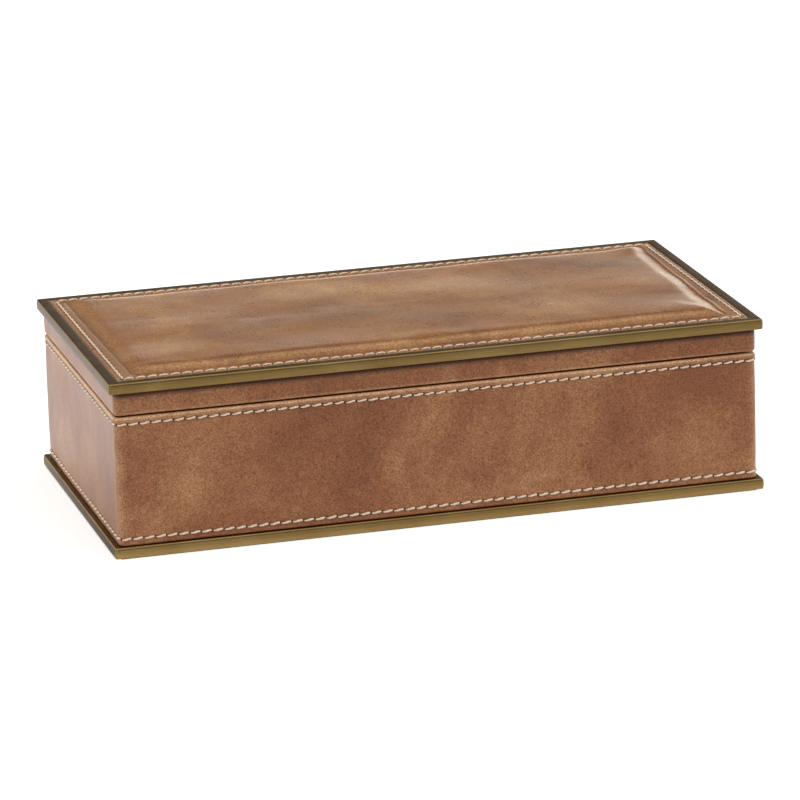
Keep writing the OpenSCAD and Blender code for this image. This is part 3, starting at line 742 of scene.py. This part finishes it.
# ------------------------------------------------------------------ brass trim
def trim_ring(prefix, body, z0, tall=BAR_H, wide=0.0, dx=0.0, slim=0.0):
    """Four mitred bars whose rounded arrises run on round the corners."""
    r = 1.3
    at, ar = 0.85, 0.30                          # upper and lower arris
    bx, by, bw = BX + BAR_EX + wide, BY + BAR_EX / 2, BAR_W + BAR_EX / 2
    sec = []                                     # (inward distance, height)
    for a in np.linspace(180, 90, 9):
        sec.append((at + at * math.cos(math.radians(a)), tall - at + at * math.sin(math.radians(a))))
    sec += [(1.6, tall), (2.6, tall), (3.6, tall)]
    for a in np.linspace(90, 0, 5):
        sec.append((bw - 0.3 + 0.3 * math.cos(math.radians(a)), tall - 0.3 + 0.3 * math.sin(math.radians(a))))
    sec += [(bw, 1.6), (bw + 6.5, 1.6), (bw + 6.5, 0.0), (3.0, 0.0), (1.5, 0.0)]
    for a in np.linspace(270, 180, 7):
        sec.append((ar + ar * math.cos(math.radians(a)), ar + ar * math.sin(math.radians(a))))
    sec += [(0.0, 0.6), (0.0, 1.0), (0.0, 1.4), (0.0, 1.8), (0.0, 2.2), (0.0, 2.6), (0.0, 3.0), (0.0, 3.4), (0.0, 3.7)]
    sec = np.array(sec)
    # the outer face is a little cushioned
    arc = np.where(sec[:, 1] > tall / 2, at, ar)
    sec[:, 0] += 0.15 * ((sec[:, 1] - 2.35) / 2.0) ** 2 * np.clip(1 - sec[:, 0] / arc, 0, 1)
    per = np.concatenate([[0], np.cumsum(np.hypot(*(np.diff(np.vstack([sec, sec[:1]]), axis=0)).T))])
    obs = []
    for side, (hx, hy, rot) in {"front": (bx, by, 0), "right": (by, bx, 90), "back": (bx, by, 180), "left": (by, bx, -90)}.items():
        # columns: half of the left corner arc, the straight, half of the right
        cols = []
        na, nst = 7, 60
        for i in range(na + 1):
            a = math.radians(225 + 45 * i / na)
            cols.append(("c", -1, a))
        for i in range(1, nst):
            cols.append(("s", -1 + 2 * i / nst, None))
        for i in range(na + 1):
            a = math.radians(270 + 45 * i / na)
            cols.append(("c", 1, a))
        V, painted_dk, uv = [], [], []
        tiny = 0.022                              # hairline at the mitre
        for ci, (kind, t, a) in enumerate(cols):
            for (dn, h), pp in zip(sec, per):
                rr = r - dn
                if kind == "s":
                    px, py = t * (hx - r), -hy + dn
                elif rr > 0.02:
                    px, py = t * (hx - r) + rr * math.cos(a), -(hy - r) + rr * math.sin(a)
                else:
                    # inside the arc's centre the section ends on the mitre itself
                    f = abs(math.tan(a - 1.5 * math.pi))
                    px = t * (hx - r) - t * (dn - r) * f
                    py = -(hy - r) + (dn - r)
                # keep every point on its own side of the mitre, less a hair
                lim = (hx - r) + ((-(py)) - (hy - r)) - tiny
                px = max(-lim, min(lim, px))
                V.append((px, py, z0 + h))
                end = 1.0 if ci in (0, len(cols) - 1) else 0.0
                # painted shade at the mitre joint
                painted_dk.append(0.8 * end)
                uv.append((px * 0.001, pp * 0.001))
        m, k = len(cols), len(sec)
        V = np.array(V)
        c, s_ = math.cos(math.radians(rot)), math.sin(math.radians(rot))
        V[:, :2] = np.stack([V[:, 0] * c - V[:, 1] * s_, V[:, 0] * s_ + V[:, 1] * c], 1)
        V[:, 0] += dx
        if side == "right":
            # this bar is a little narrower on top
            V[:, 0] += slim * np.clip((bx + dx - V[:, 0] - 2.0) / 2.0, 0, 1)
        f = grid_faces(m, k, close_rows=False, close_cols=True).tolist()
        f.append(list(range(k)))
        f.append([(m - 1) * k + i for i in range(k)][::-1])
        ob = make_mesh("trim_%s_%s" % (prefix, side), V, f, True, {"painted_shade": painted_dk}, uv)
        bm = bmesh.new()
        bm.from_mesh(ob.data)
        bmesh.ops.recalc_face_normals(bm, faces=bm.faces)
        bm.to_mesh(ob.data)
        bm.free()
        me = ob.data
        me.set_sharp_from_angle(angle=math.radians(32))
        place(ob, body, "trim_brass", M_BRASS, "%s_trim_%s" % (prefix, side))
        obs.append(ob)
    return obs


trim_ring("base", "base", Z_TRIM0, Z_PLINTH - Z_TRIM0, wide=0.11, dx=-0.11)
trim_ring("lid", "lid", Z_TRIM1, wide=0.1, dx=0.15, slim=0.28)


# ------------------------------------------------------------------ padded panel
PX, PY = BX - BAR_W - 0.06, BY - BAR_W - 0.06
PR = 0.9
LID_LINE = 7.65 - BAR_W               # stitch line in from the panel edge
LID_N = 2 * (int(round((2 * (PX - LID_LINE)) / 5.237)) + int(round((2 * (PY - LID_LINE)) / 5.237)))
PAD_RISE, PAD_REACH = 2.4, 8.8
_q = np.linspace(0, 1, 401)
_s = _q * (1 - _q) ** 1.6
PAD_CURVE = np.concatenate([[0], np.cumsum((_s[1:] + _s[:-1]) / 2)])
PAD_CURVE /= PAD_CURVE[-1]
_e = np.clip(np.minimum(_q, 1 - _q) / 0.25, 0, 1)
PAD_EVEN = np.concatenate([[0], np.cumsum((_e[1:] + _e[:-1]) / 2)])
PAD_EVEN /= PAD_EVEN[-1]


def pad_foot(x, y):
    """Where the pad starts to rise, in from the panel edge, over what reach,
    and how much of a fold lies along its foot: the border is wider along the
    front than along the back, where the roll is slower, and the fold is on
    the right."""
    right = smooth(0, 12, x - (PX - PY) - np.abs(y)) * smooth(PY * 0.98, PY * 0.70, np.abs(y))
    back = smooth(0, 12, y - (np.abs(x) - (PX - PY)))
    return 12.3 - BAR_W - 1.0 * np.clip(y / PY, -1, 1) + 1.0 * right, PAD_REACH - 0.8 * right + 2.2 * back, right


def panel_height(d, foot, reach, fold):
    """Height of the leather over the border level, d in from its edge: a
    crease at the foot of the pad with a soft welt outside it, then the rise."""
    t = np.clip((d - foot) / reach, 0, 1)
    slow = np.interp(np.clip((d - foot) / (reach + 14.0), 0, 1), _q, PAD_EVEN)
    even = 0.70 * np.interp(t, _q, PAD_EVEN) + 0.30 * slow
    rise = PAD_RISE * ((1 - fold) * np.interp(t, _q, PAD_CURVE) + fold * even)
    crown = 0.14 * smooth(14, 62, d)
    crease = -0.20 * (1 - 0.6 * fold) * bump(d - foot + 0.1, 0.6) + (0.06 + 0.20 * fold) * bump(d - foot + 1.3 - 0.2 * fold, 0.8)
    border = 0.10 * bump(d - 4.6, 1.5)
    return rise + crown + crease + border


def padded_panel():
    n = LID_N * 9
    sx, sy = PX - LID_LINE, PY - LID_LINE
    u, nn, s, tot = plan(PX, PY, PR, n, 8)
    u2, n2, s2, tot2 = plan(sx, sy, 2.2, 400, 6)
    rows = [(0.0, -3.2, 0), (0.0, -1.0, 0), (0.0, -0.55, 0), (0.04, -0.34, 0), (0.14, -0.16, 0), (0.32, -0.04, 0.2), (0.55, 0.0, 0.4)]
    ds = [0.9, 1.2] + [round(LID_LINE + o, 3) for o in (-1.1, -0.82, -0.58, -0.36, -0.18, 0, 0.18, 0.36, 0.58, 0.82, 1.1)] \
        + [4.3, 4.9, 5.5, 6.0, 6.35, 6.7, 7.0, 7.3, 7.6, 7.95, 8.3, 8.7, 9.4, 10.3, 11.2, 12.2, 13.3, 14.5, 16.0, 18.0, 20.5, 24, 28, 33, 38, 43, 48, 53, 58, 63, 68]
    for d in ds:
        rows.append((d, None, 1.0))
    for d in (70.5, 72.5, 73.6, PY):
        rows.append((d, None, 1.0))
    D = np.array([r[0] for r in rows])
    rr = np.minimum(np.maximum(PR - D, 0.25), 0.8 * (PY - D))[:, None]
    x = u[:, 0][None] * (PX - D[:, None] - rr) + nn[:, 0][None] * rr
    y = u[:, 1][None] * (PY - D[:, None] - rr) + nn[:, 1][None] * rr
    Dm = np.repeat(D[:, None], len(s), 1)
    # the pad's plan has rounder corners than its border
    cx, cy = np.abs(x), np.abs(y)
    hx, hy = PX, PY
    rc = 6.5
    qx, qy = np.maximum(cx - (hx - rc), 0), np.maximum(cy - (hy - rc), 0)
    round_d = np.where((qx > 0) & (qy > 0), rc - np.hypot(qx, qy), Dm)
    mixd = Dm * (1 - smooth(3.5, 8.0, Dm)) + np.minimum(round_d, Dm) * smooth(3.5, 8.0, Dm)
    w1, w2 = Waves(31, 42.0), Waves(32, 14.0)
    wob = w1(x, y, x * 0) * 0.10 + w2(x, y, x * 0) * 0.022
    foot = w1(x * 1.7 + 20, y * 1.7, x * 0) * 0.16
    front = np.where(-y > np.abs(x) - (PX - PY) + 4, 1.0, 0.35) * np.where(y > 0, 0.2, 1.0)
    start, reach, fold = pad_foot(x, y)
    z = Z_PANEL + panel_height(mixd + foot * smooth(3.0, 6.0, Dm), start, reach, fold) + wob * smooth(4.0, 12.0, Dm)
    for i, (d, zz, k) in enumerate(rows):
        if zz is not None:
            z[i] = Z_PANEL + zz + 0.0
    # stitches, measured along their own line
    S = np.repeat((s / tot * tot2)[None], len(D), 0)
    S = panel_line_length(x, y, sx, sy, 2.2)
    V = Dm - LID_LINE
    dep, slit = stitch_dent(S, -V, tot2, LID_N, 0.5)
    on = smooth(0.5, 1.0, Dm) * (1 - smooth(4.6, 5.4, Dm))
    z = z - dep * on
    # painted shade in the stitch slits
    painted_shade = np.clip(slit * 1.5, 0, 1) * on
    # painted shade in the crease at the pad's foot
    painted_shade = np.maximum(painted_shade, 0.45 * (1 - 0.8 * fold) * bump(mixd + foot - start, 0.42))
    # painted shade: a dark line behind the front roll, and on the border before it
    painted_shade = np.maximum(painted_shade, (0.30 * bump(mixd - start - 6.3, 1.0) + 0.12 * bump(mixd - start + 1.2, 1.8)) * (front > 0.9))
    # painted shade at the foot of the pad on the left
    painted_shade = np.maximum(painted_shade, 0.15 * bump(mixd - start - 0.2, 1.1) * (-x - (PX - PY) > np.abs(y)))
    # painted shade along the panel's edge, under the brass
    painted_shade = np.maximum(painted_shade, 0.55 * (1 - smooth(0.05, 0.4, Dm)))
    # paler: a rubbed edge, and a painted highlight along the pad's shoulder and its front ridge
    wear_and_highlight = 0.10 * bump(Dm - 0.9, 0.6) + 0.12 * bump(mixd - (start + 4.0), 2.4) + 0.22 * bump(mixd - (start + 4.2), 1.2) * (front > 0.9)
    x = x * (1 + PAD_SHIFT * PAD_WIDEN) + PAD_SHIFT * np.where(x > 0, 1, smooth(0.3, 2.0, Dm))
    v = np.stack([x, y, z], -1).reshape(-1, 3)
    f = grid_faces(len(D), len(s)).tolist()
    # underside: a flat sheet inside the leather's thickness
    k0 = len(v)
    low = np.stack([x[0], y[0], np.full(len(s), Z_PANEL - 3.2)], -1)
    f.append([i for i in range(len(s))][::-1])
    ob = make_mesh("leather_lid_panel", v, f, True, {"painted_shade": painted_shade, "wear_and_highlight": np.clip(wear_and_highlight, 0, 1)})
    bm = bmesh.new()
    bm.from_mesh(ob.data)
    # the last ring is flat on the middle line: its two sides meet there
    bmesh.ops.remove_doubles(bm, verts=bm.verts, dist=0.00002)
    bmesh.ops.dissolve_degenerate(bm, edges=bm.edges, dist=0.000001)
    big = [p for p in bm.faces if len(p.verts) > 4]
    bmesh.ops.triangulate(bm, faces=big)
    bmesh.ops.recalc_face_normals(bm, faces=bm.faces)
    bm.to_mesh(ob.data)
    bm.free()
    place(ob, "lid", "leather", M_LEATHER_TOP, "lid_panel_leather")
    stitch_ring("stitches_lid", "lid", "lid_thread", sx, sy, 2.2, LID_N, 0.5, Z_PANEL, False, seed=8, rad=0.45, slant=0.20, lift=0.26, cx=PAD_SHIFT, length=0.85)
    return ob


def panel_line_length(x, y, hx, hy, r):
    """Length along the stitch line that is nearest to each point."""
    ex, ey, arc = 2 * (hx - r), 2 * (hy - r), math.pi * r / 2
    ix, iy = hx - r, hy - r
    px, py = x - np.clip(x, -ix, ix), y - np.clip(y, -iy, iy)
    out = np.zeros_like(x)
    # which side is nearest
    gx, gy = hx - np.abs(x), hy - np.abs(y)
    inx, iny = np.abs(x) <= ix, np.abs(y) <= iy
    back = (gy <= gx) & (y > 0)
    front = (gy <= gx) & (y <= 0)
    left = (gx < gy) & (x < 0)
    right = (gx < gy) & (x >= 0)
    tot = 2 * ex + 2 * ey + 4 * arc
    out = np.where(back, np.where(x <= 0, -x, tot - x), out)
    out = np.where(left, ex / 2 + arc + (iy - y), out)
    out = np.where(front, ex / 2 + 2 * arc + ey + (x + ix), out)
    out = np.where(right, 1.5 * ex + 3 * arc + ey + (y + iy), out)
    cor = (~inx) & (~iny)
    ang = np.arctan2(py, px)
    bl = cor & (x < 0) & (y > 0)
    fl = cor & (x < 0) & (y <= 0)
    fr = cor & (x >= 0) & (y <= 0)
    br = cor & (x >= 0) & (y > 0)
    out = np.where(bl, ex / 2 + r * (ang - math.pi / 2), out)
    out = np.where(fl, ex / 2 + arc + ey + r * ((ang % (2 * math.pi)) - math.pi), out)
    out = np.where(fr, 1.5 * ex + 2 * arc + ey + r * (ang + math.pi / 2), out)
    out = np.where(br, 1.5 * ex + 3 * arc + 2 * ey + r * ang, out)
    return out


padded_panel()


# ------------------------------------------------------------------ lining and felt
def soft_box(name, body, node, slot, mat, r, seed=0, wob=0.03, step=3.0):
    """A cloth-covered card in the place of a CAD panel: its edges rounded and
    its faces a little uneven."""
    lo, hi = [np.array(c) * 1000 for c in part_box(node)]
    size = hi - lo
    r = min(r, 0.45 * size.min())
    bm = bmesh.new()
    bmesh.ops.create_cube(bm, size=1.0)
    for v in bm.verts:
        v.co = Vector([(lo[i] + hi[i]) / 2 + v.co[i] * size[i] for i in range(3)])
    bmesh.ops.bevel(bm, geom=list(bm.edges), offset=r, segments=4, profile=0.5, affect="EDGES", clamp_overlap=True)
    # divide the long faces so that they can be uneven
    for ax in range(3):
        if size[ax] > 20:
            cnt = int(min(60, size[ax] / step / 2))
            for i in range(1, cnt):
                t = lo[ax] + r + (size[ax] - 2 * r) * i / cnt
                co, no = [0, 0, 0], [0, 0, 0]
                co[ax], no[ax] = t, 1
                bmesh.ops.bisect_plane(bm, geom=list(bm.verts) + list(bm.edges) + list(bm.faces), plane_co=co, plane_no=no)
    me = bpy.data.meshes.new(name)
    bm.to_mesh(me)
    bm.free()
    n = len(me.vertices)
    co = np.empty(n * 3)
    me.vertices.foreach_get("co", co)
    co = co.reshape(-1, 3)
    thin = int(np.argmin(size))
    w = Waves(seed + 60, 38.0)(*co.T) * wob
    co[:, thin] += w * np.sign(co[:, thin] - (lo[thin] + hi[thin]) / 2) * -1
    me.vertices.foreach_set("co", (co * 0.001).ravel())
    me.update()
    me.polygons.foreach_set("use_smooth", [True] * len(me.polygons))
    ob = bpy.data.objects.new(name, me)
    SCENE.collection.objects.link(ob)
    place(ob, body, slot, mat, node)
    return ob


for i, s in enumerate(("front", "back", "left", "right")):
    soft_box("suede_base_" + s, "base", "base_lining_" + s, "lining", M_LINING, 0.65, i)
    soft_box("suede_lid_" + s, "lid", "lid_lining_" + s, "lining", M_LINING, 0.25, 10 + i, 0.0)
soft_box("suede_base_floor", "base", "base_lining_floor", "lining", M_LINING, 0.5, 20, 0.05, 6.0)
soft_box("suede_lid_top", "lid", "lid_lining_top", "lining", M_LINING, 0.5, 21, 0.05, 6.0)
soft_box("felt_base", "base", "felt_pad", "felt", M_FELT, 0.35, 22, 0.0, 6.0)

# ------------------------------------------------------------------ floor
# A pale studio table. It looks white to the camera; what it gives back to the box is dimmer, as from a table lit only
# by the same soft light, and carries painted shade and painted glow laid out by place.
floor = make_mesh("floor", [(-9000, -9000, 0), (9000, -9000, 0), (9000, 9000, 0), (-9000, 9000, 0)], [[0, 1, 2, 3]], False)
mf = Mat("floor")
lp = mf.t.nodes.new("ShaderNodeLightPath").outputs["Is Camera Ray"]
fx = mf.t.nodes.new("ShaderNodeSeparateXYZ")
mf.link(mf.coords(), fx.inputs[0])
# painted light and shade in what the table gives back: away from the box it is darker towards the front and brighter
# behind
ahead = mf.fmap(mf.math("MULTIPLY", fx.outputs["Y"], -1.0), 0.08, 0.55, 0.0, 1.0)
painted_floor_tone = mf.mix(ahead, (0.90, 0.895, 0.89), (0.62, 0.615, 0.61))
# painted shadow on the table just left of the box, in what it gives back and faintly for the camera
painted_shadow_left = mf.fmap(mf.math("MULTIPLY", fx.outputs["X"], -1.0), BX / 1000 + 0.03, BX / 1000 + 0.06, 1.0, 0.0)
painted_shadow_left = mf.math("MULTIPLY", painted_shadow_left, mf.fmap(mf.math("MULTIPLY", fx.outputs["X"], -1.0), BX / 1000 - 0.002, BX / 1000 + 0.002, 0.0, 1.0))
painted_floor_tone = mf.mix(mf.math("MULTIPLY", painted_shadow_left, 0.06), painted_floor_tone, (0.3, 0.3, 0.3))
mf.set(Base_Color=mf.mix(lp, painted_floor_tone, (0.78, 0.78, 0.78)), Roughness=0.9)
mf.bsdf.inputs["Specular IOR Level"].default_value = 0.0
mf.bsdf.inputs["Emission Color"].default_value = (1, 1, 1, 1)
# painted glow in what the table gives back: a strip under the front edge, and the table away from the box, most of all
# behind it
ox = mf.math("MAXIMUM", mf.math("SUBTRACT", mf.math("ABSOLUTE", fx.outputs["X"]), BX / 1000), 0.0)
oy = mf.math("MAXIMUM", mf.math("SUBTRACT", fx.outputs["Y"], -BY / 1000), 0.0)
far = mf.math("SQRT", mf.math("ADD", mf.math("MULTIPLY", ox, ox), mf.math("MULTIPLY", mf.math("MULTIPLY", oy, oy), 0.25)))
painted_glow_under = mf.fmap(mf.math("ABSOLUTE", mf.math("ADD", fx.outputs["Y"], BY / 1000)), 0.0, 0.016, 0.50, 0.0)
painted_glow = mf.math("MULTIPLY", mf.fmap(far, 0.006, 0.11, 0.0, 0.45), mf.fmap(fx.outputs["Y"], -0.12, 0.02, 0.0, 1.0))
# for the camera: painted light along the front edge hides the shadow there, and a faint painted shadow lies on the
# left
painted_light_edge = mf.fmap(mf.math("ABSOLUTE", mf.math("ADD", fx.outputs["Y"], BY / 1000)), 0.002, 0.010, 0.26, 0.0)
seen = mf.math("SUBTRACT", mf.math("ADD", painted_light_edge, 0.62), mf.math("MULTIPLY", painted_shadow_left, 0.12))
mf.link(mf.math("ADD", mf.math("MULTIPLY", lp, seen), mf.math("MULTIPLY", mf.math("ADD", painted_glow, painted_glow_under), mf.math("SUBTRACT", 1.0, lp))), mf.bsdf.inputs["Emission Strength"])
floor.data.materials.append(mf.m)

# ------------------------------------------------------------------ light
world = bpy.data.worlds.new("world")
SCENE.world = world
world.use_nodes = True
wt = world.node_tree
wt.nodes.clear()
wo = wt.nodes.new("ShaderNodeOutputWorld")
bg = wt.nodes.new("ShaderNodeBackground")
wt.links.new(bg.outputs[0], wo.inputs[0])
tc = wt.nodes.new("ShaderNodeTexCoord")
sep = wt.nodes.new("ShaderNodeSeparateXYZ")
wt.links.new(tc.outputs["Generated"], sep.inputs[0])


def wmath(op, a, b):
    n = wt.nodes.new("ShaderNodeMath")
    n.operation = op
    for s, v in zip(n.inputs, (a, b)):
        if isinstance(v, bpy.types.NodeSocket):
            wt.links.new(v, s)
        else:
            s.default_value = v
    return n.outputs[0]


def wrange(v, a, b, c, d):
    n = wt.nodes.new("ShaderNodeMapRange")
    n.interpolation_type = "SMOOTHSTEP"
    wt.links.new(v, n.inputs[0])
    for i, k in enumerate((a, b, c, d)):
        n.inputs[1 + i].default_value = k
    return n.outputs[0]


# The studio is made of soft zones: a ceiling, four walls, a low dark front,
# and a glow along the horizon behind.
X, Y, Z = sep.outputs["X"], sep.outputs["Y"], sep.outputs["Z"]
below = wrange(Z, 0.58, 0.88, 1.0, 0.0)
ZONES = {
    "top": [wrange(Z, 0.58, 0.88, 0.0, 1.0)],
    "left": [wrange(X, -0.75, -0.25, 1.0, 0.0), below],
    "right": [wrange(X, 0.25, 0.75, 0.0, 1.0), below],
    "front_high": [wrange(Y, -0.75, -0.25, 1.0, 0.0), below, wrange(Z, 0.15, 0.40, 0.0, 1.0)],
    "front_low": [wrange(Y, -0.75, -0.25, 1.0, 0.0), wrange(Z, 0.15, 0.40, 1.0, 0.0)],
    "glow_right": [wrange(Y, 0.25, 0.75, 0.0, 1.0), wrange(Z, 0.06, 0.23, 1.0, 0.0), wrange(X, -0.15, 0.25, 0.0, 1.0)],
    "glow_left": [wrange(Y, 0.25, 0.75, 0.0, 1.0), wrange(Z, 0.10, 0.24, 1.0, 0.0), wrange(X, -0.15, 0.25, 1.0, 0.0)],
    "back": [wrange(Y, 0.25, 0.75, 0.0, 1.0), wrange(Z, 0.10, 0.24, 0.0, 1.0), below],
}
POWER = {"top": 1.05, "left": 0.80, "right": 1.0, "front_high": 0.45, "front_low": 0.12, "glow_right": 2.8, "glow_left": 1.9, "back": 0.20,
         "key": 0.6, "key_left": 7.0, "left_back": 0.0, "right_back": 0.0}
sky = None
for zone, parts in ZONES.items():
    if POWER[zone] > 0:
        z = parts[0]
        for q in parts[1:]:
            z = wmath("MULTIPLY", z, q)
        z = wmath("MULTIPLY", z, POWER[zone])
        sky = z if sky is None else wmath("ADD", sky, z)
if sky is None:
    sky = wmath("MULTIPLY", Z, 0.0)
wt.links.new(sky, bg.inputs["Strength"])
# the light from behind is a little warmer
hue = wt.nodes.new("ShaderNodeMix")
hue.data_type = "RGBA"
wt.links.new(wrange(Y, 0.25, 0.75, 0.0, 1.0), hue.inputs[0])
hue.inputs[6].default_value = (1.0, 0.99, 0.975, 1)
hue.inputs[7].default_value = (1.0, 0.93, 0.80, 1)
wt.links.new(hue.outputs[2], bg.inputs["Color"])


def area(name, loc, target, size, power, color=(1, 1, 1)):
    d = bpy.data.lights.new(name, "AREA")
    d.shape, d.size, d.size_y = "RECTANGLE", size[0], size[1]
    d.energy, d.color = power, color
    o = bpy.data.objects.new(name, d)
    o.location = loc
    o.rotation_euler = (Vector(target) - Vector(loc)).to_track_quat("-Z", "Y").to_euler()
    SCENE.collection.objects.link(o)
    return o


for name, args in {
    "key": ((0.7, -1.2, 2.2), (0, 0, 0.05), (1.05, 1.05)),
    "key_left": ((-0.6, -1.4, 2.1), (0, 0, 0.05), (1.05, 1.05)),
    "left_back": ((-1.5, 1.7, 0.7), (0, 0.05, 0.04), (1.2, 0.8)),
    "right_back": ((1.1, 1.6, 1.4), (-0.2, 0.3, 0.0), (1.2, 1.2)),
}.items():
    if POWER[name] > 0:
        area(name, *args, POWER[name], (1.0, 0.985, 0.96) if name.startswith("key") else (1, 1, 1))

SCENE.view_settings.view_transform = "Standard"
SCENE.view_settings.look = "None"
SCENE.view_settings.exposure = 0.0
SCENE.cycles.use_denoising = True
SCENE.cycles.denoiser = "OPENIMAGEDENOISE"
SCENE.cycles.denoising_input_passes = "RGB_ALBEDO_NORMAL"
SCENE.cycles.denoising_prefilter = "ACCURATE"
